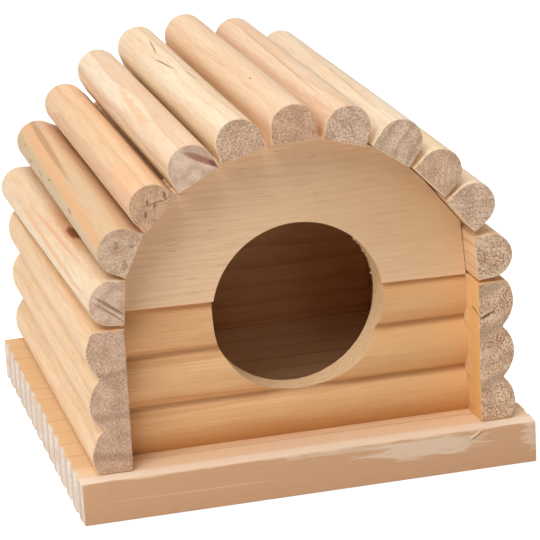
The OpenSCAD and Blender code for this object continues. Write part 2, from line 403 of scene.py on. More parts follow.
def back_siding(materials):
    bm = siding_length(back_high[0] - back_low[0], BACK_WALL_CUTS)
    roughen(bm, SIDING_WEAR, SIDING_WAVE, 1, seed=11)
    turn = Matrix.Rotation(math.radians(90), 4, "Z")
    place = Matrix.Translation((back_high[0], back_low[1], back_low[2]))
    bmesh.ops.transform(bm, matrix=place @ turn, verts=bm.verts[:])
    mark_faces(bm, 0)
    finish_piece("back_siding", bm, materials, "back_wall")


def shoulder(side, room_side):
    """The arch's corner (x, height above the wall top) at its leaning edge, and where its round begins."""
    number = LOG_COUNT - 1 if side > 0 else 2
    facing = log_seat(number)[2]
    reach = ARCH_RADIUS - SHOULDER_EASE
    lean = math.tan(ARCH_EDGE_LEAN)
    # The log's flat and the leaning edge, as two lines that cross at the shoulder
    outwards = side * math.cos(facing)
    rise = reach - outwards * room_side - math.sin(facing) * ARCH_DROP
    height = rise / (math.sin(facing) - outwards * lean)
    corner = (side * (room_side - height * lean), height)
    return corner, facing - side * math.acos(reach / ARCH_RADIUS)


def arch_panel(name, node, materials, with_entrance=False):
    """A flat arched board; its lower corners lean in under the end logs."""
    low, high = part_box(node)
    # The back panel is a little wider at the left, and carries the swung log
    left = ROOM_LEFT if with_entrance else low[0]
    left_rise = SEAM_RISE if with_entrance else 0.0
    right_corner, right_angle = shoulder(1, HALF_ROOM)
    left_corner, left_angle = shoulder(-1, -left)
    entrance = []
    if with_entrance:
        over, corner, _ = entrance_over_seam()
        entrance = [("line", corner), ("arc", (ENTRANCE_SHIFT, -ENTRANCE_DROP), over, ARCH_MOUTH_STEPS)]
    bm = bmesh.new()
    outline_face(bm, (left + left_rise * math.tan(ARCH_EDGE_LEAN), left_rise), [
        *entrance,
        ("line", (HALF_ROOM, 0)),
        ("line", right_corner),
        ("line", (ARCH_RADIUS * math.cos(right_angle), ARCH_RADIUS * math.sin(right_angle) - ARCH_DROP)),
        ("arc", (0, -ARCH_DROP), left_angle - right_angle, ARCH_STEPS),
        ("line", left_corner),
    ])
    cut_across(bm, even_places(0, high[2] - low[2], PANEL_CUTS), (0, 0, 1))
    thicken(bm, high[1] - low[1])
    soften(bm, SAWN_ARRIS, over=BOARD_ARRIS)
    move(bm, (0, low[1], WALL_TOP))
    if with_entrance:
        fray(bm, high[1], ARCH_FRAY)
    mark_faces(bm, 0, in_entrance if with_entrance else None)
    finish_piece(name, bm, materials, node)


def log_seat(number):
    """Middle of a log's flat (x, z) and the direction that it faces, as an angle from +X."""
    step = (LOG_WIDTH + LOG_GAP) / ARCH_RADIUS
    if number in (1, LOG_COUNT):
        side = -1 if number == 1 else 1
        rise = LOG_GAP + LOG_WIDTH / 2
        room_side = HALF_ROOM if side > 0 else -ROOM_LEFT
        x = side * (room_side - rise * math.sin(ARCH_EDGE_LEAN) + GLUE_LINE)
        z = WALL_TOP + rise * math.cos(ARCH_EDGE_LEAN)
        return x, z, math.pi / 2 - side * (math.pi / 2 - ARCH_EDGE_LEAN)
    turn = math.radians(LOG_TURNS[number - 1])
    shift = LOG_SHIFTS[number - 1] * MM / ARCH_RADIUS
    angle = math.pi / 2 + ((LOG_COUNT + 1) / 2 - number) * step + shift
    reach = (ARCH_RADIUS + GLUE_LINE) / math.cos(turn)
    return reach * math.cos(angle), ARCH_CENTRE_Z + reach * math.sin(angle), angle + turn


def roof_log(number, materials):
    """A D-shaped log: flat underside, straight sides, half-round top."""
    node = f"roof_log_{number:02d}"
    length = LOG_LENGTH + LOG_LENGTH_CHANGES[number - 1] * MM
    height = LOG_HEIGHT + LOG_HEIGHT_CHANGES[number - 1] * MM
    half = (LOG_WIDTH + LOG_WIDTH_CHANGES[number - 1] * MM) / 2
    straight = height - half
    bm = bmesh.new()
    outline_face(bm, (-half, 0), [
        ("line", (half, 0)),
        ("line", (half, straight)),
        ("arc", (0, straight), math.pi, LOG_ROUND_STEPS),
    ])
    thicken(bm, length)
    soften(bm, SOFT_ARRIS)
    cut_across(bm, even_places(0, length, LOG_CUTS), (0, 1, 0))
    roughen(bm, LOG_WEAR, LOG_WAVE, 1, seed=number)
    x, z, facing = log_seat(number)
    turn = Matrix.Rotation(math.pi / 2 - facing, 4, "Y")
    swing = Matrix.Rotation(FIRST_LOG_SWING if number == 1 else 0, 4, "Z")
    # A log swings about the front panel's face
    to_face = Matrix.Translation((0, HOUSE_FRONT - arch_low[1], 0))
    place = Matrix.Translation((x, arch_low[1], z)) @ swing @ to_face @ turn
    bmesh.ops.transform(bm, matrix=place, verts=bm.verts[:])
    mark_faces(bm, 1)
    finish_piece(f"log_{number:02d}", bm, materials, node)


def base_ring_places():
    """Places along Y where one growth ring of the base board ends and the next begins."""
    count = int((base_high[1] - base_low[1]) / BASE_RING_SPACING)
    return [base_low[1] + BASE_RING_SPACING * (i + BASE_FIRST_RING) for i in range(count + 1)]


def tooth_cuts():
    """Places along Y just before and after each change between a ring's soft band and its hard one."""
    changes = [
        place + share * BASE_RING_SPACING for place in base_ring_places() for share in (0, BASE_SOFT_SHARE)]
    cuts = [change + side * BASE_TOOTH_SLOPE for change in changes for side in (-1, 1)]
    margin = 1 * MM
    return [place for place in cuts if base_low[1] + margin < place < base_high[1] - margin]


def dent_sawn_ends(bm):
    """Sets the soft bands of the base's rings back at its sawn ends."""
    for corner in bm.verts:
        share = ((corner.co.y - base_ring_places()[0]) / BASE_RING_SPACING) % 1
        if share < BASE_SOFT_SHARE and abs(corner.co.x) > base_high[0] - BASE_TOOTH_LENGTH:
            corner.co.x -= math.copysign(BASE_TOOTH, corner.co.x)


def wear_front_edge(bm):
    """Wears the top front edge of the base unevenly."""
    reach = SOFT_ARRIS * 1.5
    for corner in bm.verts:
        if corner.co.y < base_low[1] + reach and corner.co.z > base_high[2] - reach:
            wear = 0.5 + 0.5 * noise.noise(Vector((corner.co.x / BASE_WEAR_WAVE, 0, 0)))
            corner.co.y += BASE_WEAR_BACK * wear
            corner.co.z -= BASE_WEAR_DOWN * wear


def base_board(materials):
    """The base board; its sawn ends stand a little lower in every soft band of the rings."""
    bm = bmesh.new()
    bmesh.ops.create_cube(bm, size=1)
    bmesh.ops.scale(bm, vec=[base_high[i] - base_low[i] for i in range(3)], verts=bm.verts[:])
    move(bm, [(base_high[i] + base_low[i]) / 2 for i in range(3)])
    soften(bm, SOFT_ARRIS)
    cut_across(bm, tooth_cuts(), (0, 1, 0))
    cut_across(bm, even_places(base_low[0], base_high[0], BASE_CUTS), (1, 0, 0))
    dent_sawn_ends(bm)
    wear_front_edge(bm)
    face_outwards(bm)
    mark_faces(bm, 0, end_from=0.5)
    finish_piece("base_plank", bm, materials, "base_board")


# Node helpers -----------------------------------------------------------------

def connect(node, values):
    """Sets a node's inputs, by name or place, each to a number, a colour or a socket."""
    for key, value in values.items():
        if isinstance(value, bpy.types.NodeSocket):
            node.id_data.links.new(value, node.inputs[key])
        else:
            node.inputs[key].default_value = value


def put(kind, values, **settings):
    """Adds a node, in the tree of the first socket among its values."""
    tree = next(value.id_data for value in values.values() if isinstance(value, bpy.types.NodeSocket))
    node = tree.nodes.new(kind)
    for setting, value in settings.items():
        setattr(node, setting, value)
    connect(node, values)
    return node


def maths(operation, first, second=0.0, third=0.0):
    return put("ShaderNodeMath", {0: first, 1: second, 2: third}, operation=operation).outputs[0]


def times(first, second):
    return maths("MULTIPLY", first, second)


def vector_maths(operation, first, second):
    return put("ShaderNodeVectorMath", {0: first, 1: second}, operation=operation).outputs[0]


def length_of(vector):
    return put("ShaderNodeVectorMath", {0: vector}, operation="LENGTH").outputs["Value"]


def fade(value, low, high, to_low=0.0, to_high=1.0):
    """Runs smoothly from to_low to to_high while a value runs from low to high."""
    values = {"Value": value, "From Min": low, "From Max": high, "To Min": to_low, "To Max": to_high}
    return put("ShaderNodeMapRange", values, interpolation_type="SMOOTHSTEP").outputs[0]


def cloud(place, stretch=(1, 1, 1), detail=2.0, roughness=0.55, shift=(0, 0, 0)):
    """Noise between 0 and 1; it changes faster along an axis with a larger number in `stretch`."""
    spot = vector_maths("ADD", vector_maths("MULTIPLY", place, stretch), shift)
    values = {"Vector": spot, "Scale": 1.0, "Detail": detail, "Roughness": roughness}
    return put("ShaderNodeTexNoise", values).outputs[0]


def srgb(red, green, blue):
    """A colour given as 0 to 255 on a screen, as the shader's linear values."""
    def linear(value):
        share = value / 255
        return share / 12.92 if share <= 0.04045 else ((share + 0.055) / 1.055) ** 2.4
    return (linear(red), linear(green), linear(blue), 1.0)


def tint(colour, over, mask, strength=1.0):
    """Lays `over`, a colour given as 0 to 255 on a screen, on another colour where a mask says."""
    share = times(mask, strength)
    return put("ShaderNodeMix", {0: share, 6: colour, 7: srgb(*over)}, data_type="RGBA").outputs[2]


def new_group(work_out, inputs):
    """Makes a shader node group: `inputs` gives its sockets' defaults, and `work_out` what it puts out."""
    tree = bpy.data.node_groups.new(work_out.__name__, "ShaderNodeTree")
    for label, default in {"Place": (0, 0, 0), **inputs}.items():
        kind = "NodeSocketVector" if isinstance(default, tuple) else "NodeSocketFloat"
        socket = tree.interface.new_socket(label, in_out="INPUT", socket_type=kind)
        socket.default_value = default
    results = work_out(tree.nodes.new("NodeGroupInput").outputs)
    for label in results:
        tree.interface.new_socket(label, in_out="OUTPUT", socket_type="NodeSocketFloat")
    connect(tree.nodes.new("NodeGroupOutput"), results)
    return tree


def place_group(group, values):
    return put("ShaderNodeGroup", values, node_tree=group).outputs


# Wood effects, shared by every material ------------------------------------------
# Each reads a place in millimetres in its board, with the grain along Y.

# How far along the grain a ring's drift goes before it turns
DRIFT_LENGTH = 60.0


def late_band(share, start, peak):
    """Latewood: it darkens from `start` to `peak` of a ring's width, and stops short at the next ring."""
    return times(fade(share, start, peak), fade(share, peak + 0.01, 1.0, 1.0, 0.0))


def growth_rings(given):
    """Rings round a pith that runs along the grain: thin dark latewood, and a tone for each ring."""
    parts = put("ShaderNodeSeparateXYZ", {0: given["Place"]}).outputs
    along = maths("DIVIDE", parts["Y"], DRIFT_LENGTH)
    slow = maths("ADD", along, given["Seed"])
    spot = put("ShaderNodeCombineXYZ", {0: times(parts["X"], 0.05), 1: slow, 2: times(parts["Z"], 0.05)})
    broad = cloud(spot.outputs[0], detail=1.0)
    fine = cloud(given["Place"], (0.5, 0.06, 0.5))
    across = maths("SUBTRACT", parts["X"], given["Pith X"])
    above = maths("SUBTRACT", parts["Z"], given["Pith Z"])
    radius = maths("SQRT", maths("ADD", times(across, across), times(above, above)))
    for drift, width in ((broad, 4.0), (fine, 0.5)):
        reach = times(given["Wobble"], width)
        off = maths("SUBTRACT", drift, 0.5)
        radius = maths("ADD", radius, times(off, reach))
    turn = maths("DIVIDE", radius, given["Spacing"])
    share = maths("FRACT", turn)
    ring = maths("ADD", maths("FLOOR", turn), given["Seed"])
    tone = put("ShaderNodeTexWhiteNoise", {"W": ring}, noise_dimensions="1D").outputs["Value"]
    late = late_band(share, given["Late Start"], 0.93)
    late = times(late, maths("MULTIPLY_ADD", tone, 0.5, 0.5))
    return {"Late": late, "Ring Tone": tone, "Share": share}


def fibres(given):
    """Fine streaks, broad bands and short dark flecks along the grain."""
    seed = given["Seed"]
    shift = put("ShaderNodeCombineXYZ", {0: seed, 1: seed, 2: seed}).outputs[0]
    place = given["Place"]
    fleck = cloud(place, (3.6, 0.09, 3.6), 1.0, shift=shift)
    level = maths("MULTIPLY_ADD", given["Fleck Amount"], -0.1, 0.80)
    return {
        "Streak": cloud(place, (2.0, 0.07, 2.0), 5.0, 0.7, shift),
        "Band": cloud(place, (0.16, 0.012, 0.16), shift=shift),
        "Fleck": fade(fleck, level, maths("ADD", level, 0.07))}


def end_pores(given):
    """Open cell ends on a cross cut: fine specks, painted glints between them, a few coarse pits, and soft
    blotches.
    """
    shift = put("ShaderNodeCombineXYZ", {0: given["Seed"], 2: given["Seed"]}).outputs[0]
    flat = vector_maths("ADD", vector_maths("MULTIPLY", given["Place"], (1, 0, 1)), shift)
    cells = cloud(flat, maths("DIVIDE", 1.0, given["Speck Size"]))
    wide = vector_maths("MULTIPLY", flat, (1.1, 1.0, 0.85))
    pits = cloud(wide, maths("DIVIDE", 1.0, given["Pit Size"]))
    spread = cloud(flat, (0.17, 1.0, 0.17), 1.0)
    level = maths("MULTIPLY_ADD", given["Coarse"], -0.3, 0.86)
    level = maths("MULTIPLY_ADD", spread, -0.3, maths("ADD", level, 0.15))
    return {
        "Speck": fade(cells, 0.47, 0.66),
        "Painted Glint": fade(cells, 0.32, 0.46, 1.0, 0.0),
        "Pit": fade(pits, level, maths("ADD", level, 0.08)),
        "Blotch": cloud(flat, (0.22, 1.0, 0.22))}


def soft_mark(given):
    """A soft-edged lens in the wood, for a stain, a resin streak, a crack or a pin knot."""
    away = vector_maths("SUBTRACT", given["Place"], given["Centre"])
    turn = {"Vector": away, "Rotation": given["Turn"]}
    turned = put("ShaderNodeVectorRotate", turn, rotation_type="EULER_XYZ").outputs[0]
    reach = length_of(vector_maths("DIVIDE", turned, given["Half Size"]))
    grain = cloud(given["Place"], (0.9, 0.12, 0.9))
    rag = times(maths("SUBTRACT", grain, 0.5), given["Ragged"])
    reach = maths("MULTIPLY_ADD", rag, 4.0, reach)
    inner = maths("SUBTRACT", 1.0, given["Softness"])
    return {"Mark": fade(reach, inner, 1.0, 1.0, 0.0)}


RINGS = new_group(growth_rings, {
    "Pith X": 0.0, "Pith Z": 0.0, "Spacing": 3.0, "Wobble": 1.0, "Late Start": 0.5, "Seed": 0.0})
FIBRES = new_group(fibres, {"Fleck Amount": 0.5, "Seed": 0.0})
PORES = new_group(end_pores, {"Speck Size": 0.6, "Coarse": 0.3, "Pit Size": 0.6, "Seed": 0.0})
SOFT_MARK = new_group(soft_mark, {
    "Centre": (0, 0, 0), "Half Size": (1, 1, 1), "Turn": (0, 0, 0), "Ragged": 0.2, "Softness": 0.4})


# Materials ----------------------------------------------------------------------
# Colours are given as 0 to 255 on a screen.

RESIN = (140, 72, 32)
BARK_BROWN = (118, 82, 52)
CRACK_BROWN = (128, 84, 58)
HAIRLINE = (140, 96, 64)
GREY_STAIN = (204, 178, 138)
GRAIN_LINE = (206, 158, 112)
FLECK_BROWN = (142, 92, 60)
# The colour of the shade painted into the siding's grooves
GROOVE_PAINTED_SHADE = (150, 84, 22)
# The colour of the glints painted on the sawn ends
PAINTED_GLINT = (255, 236, 214)


class Timber:
    """How one board or log is cut and coloured. Lengths are millimetres in the board, grain along Y."""

    turn = (0, 0, 0)
    seed = 1.0
    pith = (40, 40)
    spacing = 4.0
    wobble = 1.0
    # Faces that run with the grain
    early = (245, 224, 191)
    late = (206, 146, 96)
    late_strength = 0.6
    late_start = 0.5
    band_colour = (234, 190, 146)
    band_strength = 0.4
    streak_strength = 0.36
    fleck_amount = 0.3
    # How strongly shade is painted into the siding's grooves
    painted_groove_shade = 0.0
    side_marks = ()
    # Sawn ends
    end = (238, 206, 178)
    end_dark = (184, 140, 108)
    end_late = (184, 140, 114)
    end_late_strength = 0.32
    end_late_start = 0.5
    # How strong the dark specks on a sawn end are, and the painted glints between them
    speck_and_glint_strength = 0.6
    pit_colour = (172, 110, 66)
    coarse = 0.2
    pit_size = 0.55
    end_marks = ()

    def __init__(self, name, origin, **looks):
        self.name = name
        self.origin = origin
        for look, value in looks.items():
            setattr(self, look, value)


class Mark(NamedTuple):
    """A stain, streak, crack or knot in one board, in the board's millimetres, turned by degrees."""

    colour: tuple
    strength: float
    centre: tuple
    half_size: tuple
    turn: tuple = (0, 0, 0)
    ragged: float = 0.15
    softness: float = 0.5
    closes_pores: bool = False


def ring_outputs(timber, place):
    return place_group(RINGS, {
        "Place": place, "Pith X": timber.pith[0], "Pith Z": timber.pith[1], "Spacing": timber.spacing,
        "Wobble": timber.wobble, "Late Start": timber.late_start, "Seed": timber.seed})


def add_marks(place, colour, marks):
    """Lays each mark's colour over the wood, and tells where the marks close the pores, if any does."""
    closed = None
    for mark in marks:
        share = place_group(SOFT_MARK, {
            "Place": place, "Centre": mark.centre, "Half Size": mark.half_size,
            "Turn": [math.radians(angle) for angle in mark.turn], "Ragged": mark.ragged,
            "Softness": mark.softness})["Mark"]
        colour = tint(colour, mark.colour, share, mark.strength)
        if mark.closes_pores:
            closed = share if closed is None else maths("MAXIMUM", share, closed)
    return colour, closed


def new_material(name):
    """A material with a plain shader, and its node tree."""
    material = bpy.data.materials.new(name)
    material.use_nodes = True
    return material, material.node_tree


def start_material(timber, finish):
    """A material for one finish of a board, and the place in it, in millimetres with the grain along Y."""
    material, tree = new_material(f"{timber.name}_{finish}")
    place = put("ShaderNodeMapping", {
        "Vector": tree.nodes.new("ShaderNodeTexCoord").outputs["Object"], "Location": timber.origin,
        "Rotation": timber.turn, "Scale": (MM, MM, MM)}, vector_type="TEXTURE").outputs[0]
    return material, place


def finish_material(material, colour, roughness, height, bump_distance):
    bump = put("ShaderNodeBump", {"Height": height, "Distance": bump_distance, "Strength": 0.6})
    connect(material.node_tree.nodes["Principled BSDF"], {
        "Base Color": colour, "Roughness": roughness, "Specular IOR Level": 0.3, "Normal": bump.outputs[0]})
    return material


def long_grain(timber):
    """A face that runs with the grain."""
    material, place = start_material(timber, "long_grain")
    rings = ring_outputs(timber, place)
    lines = place_group(FIBRES, {
        "Place": place, "Fleck Amount": timber.fleck_amount, "Seed": timber.seed * 5.7})
    colour = tint(srgb(*timber.early), timber.late, rings["Late"], timber.late_strength)
    band = fade(lines["Band"], 0.38, 0.66)
    colour = tint(colour, timber.band_colour, band, timber.band_strength)
    colour = tint(colour, timber.band_colour, rings["Ring Tone"], timber.band_strength * 0.4)
    colour = tint(colour, timber.late, fade(lines["Streak"], 0.42, 0.72), timber.streak_strength)
    colour = add_marks(place, colour, timber.side_marks)[0]
    # Painted shade: the grooves between the lobes are darkened towards a brown, in place of the shade that
    # falls in them.
    if timber.painted_groove_shade > 0:
        thickness = maths("ABSOLUTE", put("ShaderNodeSeparateXYZ", {0: place}).outputs["X"])
        groove = (GROOVE_CENTRE - GROOVE_RADIUS) / MM
        shade = fade(thickness, groove, groove + 1.0, timber.painted_groove_shade, 0.0)
        colour = tint(colour, GROOVE_PAINTED_SHADE, shade, fade(thickness, 1.0, 4.0))
    colour = tint(colour, FLECK_BROWN, lines["Fleck"], 0.6)
    roughness = maths("MULTIPLY_ADD", lines["Streak"], 0.22, 0.48)
    height = times(rings["Late"], 0.35)
    height = maths("MULTIPLY_ADD", lines["Streak"], -0.8, height)
    height = maths("MULTIPLY_ADD", lines["Fleck"], -0.7, height)
    return finish_material(material, colour, roughness, height, 0.09 * MM)


def end_grain(timber):
    """A sawn end: the rings cut across, with open pores."""
    material, place = start_material(timber, "end_grain")
    rings = ring_outputs(timber, place)
    pores = place_group(PORES, {
        "Place": place, "Coarse": timber.coarse, "Pit Size": timber.pit_size, "Seed": timber.seed * 9.1})
    colour = tint(srgb(*timber.end), timber.end_dark, fade(pores["Blotch"], 0.35, 0.68), 0.55)
    late = late_band(rings["Share"], timber.end_late_start, 0.92)
    colour = tint(colour, timber.end_late, late, timber.end_late_strength)
    colour, closed = add_marks(place, colour, timber.end_marks)
    colour = tint(colour, timber.end_dark, pores["Speck"], timber.speck_and_glint_strength)
    # Painted highlight: pale glints laid between the dark specks of a sawn end.
    colour = tint(colour, PAINTED_GLINT, pores["Painted Glint"], timber.speck_and_glint_strength * 0.7)
    open_share = 0.75 if closed is None else maths("SUBTRACT", 0.75, times(closed, 0.7))
    colour = tint(colour, timber.pit_colour, pores["Pit"], open_share)
    roughness = maths("MULTIPLY_ADD", pores["Speck"], 0.12, 0.72)
    height = times(rings["Late"], 0.3)
    height = maths("MULTIPLY_ADD", pores["Speck"], -0.4, height)
    height = maths("MULTIPLY_ADD", pores["Pit"], -1.0, height)
    return finish_material(material, colour, roughness, height, 0.14 * MM)


def sawn_hole(timber):
    """The wall of the entrance, left pale and a little furry by the hole saw."""
    material, place = start_material(timber, "sawn_hole")
    kerf = cloud(place, (2.2, 0.5, 0.5), 3.0)
    fur = cloud(place, (1.2, 1.8, 1.8))
    colour = tint(srgb(252, 216, 170), (224, 174, 124), fade(kerf, 0.4, 0.7), 0.5)
    colour = tint(colour, (196, 146, 104), fade(fur, 0.55, 0.75), 0.5)
    roughness = maths("MULTIPLY_ADD", fur, 0.15, 0.7)
    return finish_material(material, colour, roughness, maths("ADD", kerf, fur), 0.12 * MM)


def timber_materials(timber, with_hole=False):
    materials = [long_grain(timber), end_grain(timber)]
    if with_hole:
        materials.append(sawn_hole(timber))
    return materials


def steel_material():
    """Bright drawn wire, a little dulled."""
    material, tree = new_material("nail_steel")
    place = tree.nodes.new("ShaderNodeTexCoord").outputs["Object"]
    drawn = cloud(place, (4000, 4000, 500), 3.0)
    dull = fade(cloud(place, (480, 480, 250)), 0.4, 0.7)
    colour = tint(srgb(196, 196, 198), (150, 148, 146), dull)
    connect(tree.nodes["Principled BSDF"], {"Metallic": 1.0})
    roughness = maths("MULTIPLY_ADD", drawn, 0.25, 0.22)
    return finish_material(material, colour, roughness, drawn, 0.02 * MM)


# The timber of each piece --------------------------------------------------------

# How each roof log is cut and coloured, left to right
LOG_LOOKS = [
    dict(
        pith=(-30, -22), spacing=6.2, seed=1.3, late_strength=0.5, end_late_strength=0.3, coarse=0.0,
        speck_and_glint_strength=0.35),
    dict(pith=(26, 34), spacing=5.0, seed=2.1, coarse=0.25, early=(214, 184, 147), end=(230, 198, 167)),
    dict(
        pith=(-28, 44), spacing=4.2, seed=3.7, early=(234, 199, 160), end=(227, 182, 144), coarse=0.1,
        late_strength=0.45),
    dict(
        pith=(36, 50), spacing=7.5, seed=4.9, early=(246, 228, 200), speck_and_glint_strength=0.25, coarse=0.0,
        end=(244, 212, 188), end_late_strength=0.1),
    dict(
        pith=(-40, 38), spacing=3.2, seed=5.2, early=(245, 225, 193), end=(230, 195, 163), coarse=0.15,
        speck_and_glint_strength=0.85, late_strength=0.4),
    dict(
        pith=(44, 70), spacing=6.5, seed=6.6, early=(241, 211, 178), end=(234, 188, 155), coarse=0.9,
        pit_size=0.8, pit_colour=(170, 104, 60), late_strength=0.35),
    dict(
        pith=(14, 30), spacing=5.2, seed=7.4, early=(238, 207, 176), coarse=0.05, speck_and_glint_strength=0.8,
        wobble=1.6),
    dict(
        pith=(36, 3), spacing=4.6, seed=8.8, early=(244, 228, 200), end=(238, 210, 180), coarse=0.15,
        end_late_strength=0.55, late_strength=0.4),
    dict(
        pith=(34, 30), spacing=1.7, seed=9.5, early=(250, 226, 190), end=(234, 198, 166), coarse=0.1,
        late_strength=0.3, wobble=0.5, band_strength=0.25, streak_strength=0.2),
    dict(
        pith=(-34, 34), spacing=1.9, seed=10.2, coarse=0.3, early=(250, 228, 194), late_strength=0.3,
        wobble=0.5, speck_and_glint_strength=0.8, band_strength=0.25, streak_strength=0.2),
    dict(
        pith=(-36, 26), spacing=3.0, seed=11.9, early=(248, 214, 170), end=(252, 224, 190), coarse=1.1,
        pit_size=0.62, pit_colour=(160, 88, 46)),
]

# Marks along the logs: the log's number, then a colour and its strength, the middle and half size in the
# log's millimetres, the turn about its height in degrees, how ragged it is and, where told, how soft
LOG_SIDE_MARKS = [
    (1, (220, 152, 96), 0.6, (7.1, -8, 6.0), (2.6, 36, 3.4), 0, 0.2),
    (1, RESIN, 0.95, (7.1, -14, 5.2), (1.7, 9.0, 2.8), 0, 0.12),
    (1, (238, 178, 126), 0.7, (1.5, 0, 11), (1.3, 80, 3), 1, 0.15),
    (1, (228, 164, 112), 0.6, (4.6, 10, 9), (0.7, 70, 3), -1, 0.15),
    (2, (228, 174, 124), 0.8, (1.6, 0, 11), (2.6, 130, 5), 1.6, 0.07),
    (2, GREY_STAIN, 0.8, (-3.2, 5, 9), (3.6, 130, 9), 1.2, 0.07),
    (2, (178, 132, 88), 0.75, (4.9, 40, 10), (1.1, 62, 5), 1.0, 0.07, 0.6),
    (2, BARK_BROWN, 0.6, (-1.8, -24, 11.9), (0.8, 3.6, 2), 4, 0.5, 0.8),
    (2, BARK_BROWN, 0.6, (-1.0, 12, 12), (0.5, 2.4, 2), -6, 0.4, 0.7),
    (2, BARK_BROWN, 0.55, (-2.4, 27, 11.6), (0.6, 4.4, 2), 3, 0.6, 0.9),
    (2, BARK_BROWN, 0.5, (-3.0, 46, 11.3), (0.7, 6.0, 2), -2, 0.6, 0.9),
    (2, BARK_BROWN, 0.5, (-0.4, 58, 12), (0.5, 2.4, 2), 0, 0.4, 0.7),
    (2, RESIN, 0.85, (-7.1, -12, 3.5), (1.8, 4.0, 2.6), 0, 0.2),
    (3, (240, 180, 136), 0.5, (0, -50, 9), (5, 22, 8), 0, 0.3),
    (4, (238, 182, 134), 0.55, (-1.5, -12, 12), (1.7, 32, 4), 3, 0.5),
    (4, (238, 182, 134), 0.45, (3.0, 26, 11), (1.5, 34, 4), -2, 0.5),
    (5, HAIRLINE, 0.9, (-1.2, 16, 12), (0.34, 13, 3), -5, 0.1),
    (5, HAIRLINE, 0.8, (0.6, 40, 12), (0.3, 12, 3), 6, 0.1),
    (5, HAIRLINE, 0.7, (2.6, -6, 12), (0.28, 10, 3), -3, 0.1),
    (6, BARK_BROWN, 0.85, (-2.4, -28, 11.6), (0.5, 0.9, 1.2), 0, 0.1),
    (7, GRAIN_LINE, 0.7, (-3.8, 8, 10), (0.3, 70, 3), 0.8, 0.06),
    (7, GRAIN_LINE, 0.6, (1.8, -4, 12), (0.25, 64, 3), -0.8, 0.06),
    (8, GRAIN_LINE, 0.7, (-4.6, 0, 9), (0.3, 76, 3), 0.8, 0.06),
    (8, GRAIN_LINE, 0.6, (-2.2, 10, 11), (0.22, 60, 3), -1.0, 0.06),
    (8, GRAIN_LINE, 0.6, (0.6, -6, 12), (0.22, 66, 3), 0.6, 0.06),
]

# Streaks on the logs' front ends: the log's number, then in millimetres how far right of and above the
# middle of its flat, the angle seen from the front, half length and width, colour, strength, raggedness
LOG_END_STREAKS = [
    (1, -4.4, -0.5, -38, 7.0, 0.65, (154, 114, 98), 0.9, 0.02),
    (1, -5.0, -2.1, -38, 7.0, 0.45, (162, 124, 106), 0.85, 0.02),
    (2, -5.6, 4.2, 60, 1.6, 0.9, BARK_BROWN, 0.5, 0.8),
    (2, -3.4, -1.6, 80, 2.2, 1.0, BARK_BROWN, 0.45, 0.9),
    (2, -1.2, 3.2, 20, 1.2, 0.5, BARK_BROWN, 0.5, 0.8),
    (3, -5.0, 1.0, 84, 1.5, 0.55, CRACK_BROWN, 0.9, 0.3),
    (3, -4.3, 4.4, 96, 1.0, 0.5, CRACK_BROWN, 0.9, 0.3),
    (3, 0.9, 6.4, 100, 1.3, 0.5, CRACK_BROWN, 0.9, 0.3),
    (3, -2.2, 3.4, 80, 0.9, 0.45, CRACK_BROWN, 0.8, 0.3),
    (3, -1.4, 4.4, 14, 5.4, 0.3, HAIRLINE, 0.8, 0.2),
    (4, 1.4, 8.4, -26, 7.4, 2.6, (206, 170, 150), 0.7, 0.1),
    (4, 0.8, 6.7, -26, 7.2, 1.3, (168, 112, 90), 0.9, 0.1),
    (4, 5.2, 4.7, -26, 3.0, 1.3, (124, 66, 48), 0.85, 0.1),
    (7, -3.4, 3.4, 112, 3.0, 0.25, HAIRLINE, 0.6, 0.2),
    (7, 2.4, 4.0, 106, 4.4, 0.25, HAIRLINE, 0.6, 0.2),
    (8, -4.6, 3.6, 70, 5.0, 2.0, (196, 184, 150), 0.6, 0.5),
]

# How far a mark on a front end reaches into the wood, in millimetres
END_MARK_DEPTH = 12
ALONG_X = (0, 0, -math.pi / 2)


def end_streak(tilt, right, up, angle, half_length, half_width, colour, strength, ragged):
    """A streak on the front end of a log that is tilted by an angle, in the log's own directions."""
    centre = (
        right * math.cos(tilt) + up * math.sin(tilt),
        HOUSE_FRONT / MM,
        up * math.cos(tilt) - right * math.sin(tilt))
    half_size = (half_length, END_MARK_DEPTH, half_width)
    return Mark(colour, strength, centre, half_size, (0, angle - math.degrees(tilt), 0), ragged)


def log_timber(number):
    x, z, facing = log_seat(number)
    side_marks = [
        Mark(colour, strength, centre, half_size, (0, 0, turn), *edge)
        for log, colour, strength, centre, half_size, turn, *edge in LOG_SIDE_MARKS if log == number]
    end_marks = [
        end_streak(facing - math.pi / 2, *streak) for log, *streak in LOG_END_STREAKS if log == number]
    return Timber(
        f"log_{number:02d}", (x, 0, z), turn=(0, math.pi / 2 - facing, 0), side_marks=side_marks,
        end_marks=end_marks, **LOG_LOOKS[number - 1])


def wall_band(height, tilt, half_width, colour, strength, closes_pores=False):
    """A smooth band across the end of a side wall, at a height above its lower edge."""
    centre = (0, HOUSE_FRONT / MM, height)
    half_size = (40, END_MARK_DEPTH, half_width)
    return Mark(colour, strength, centre, half_size, (0, tilt, 0), 0.08, 0.8, closes_pores)


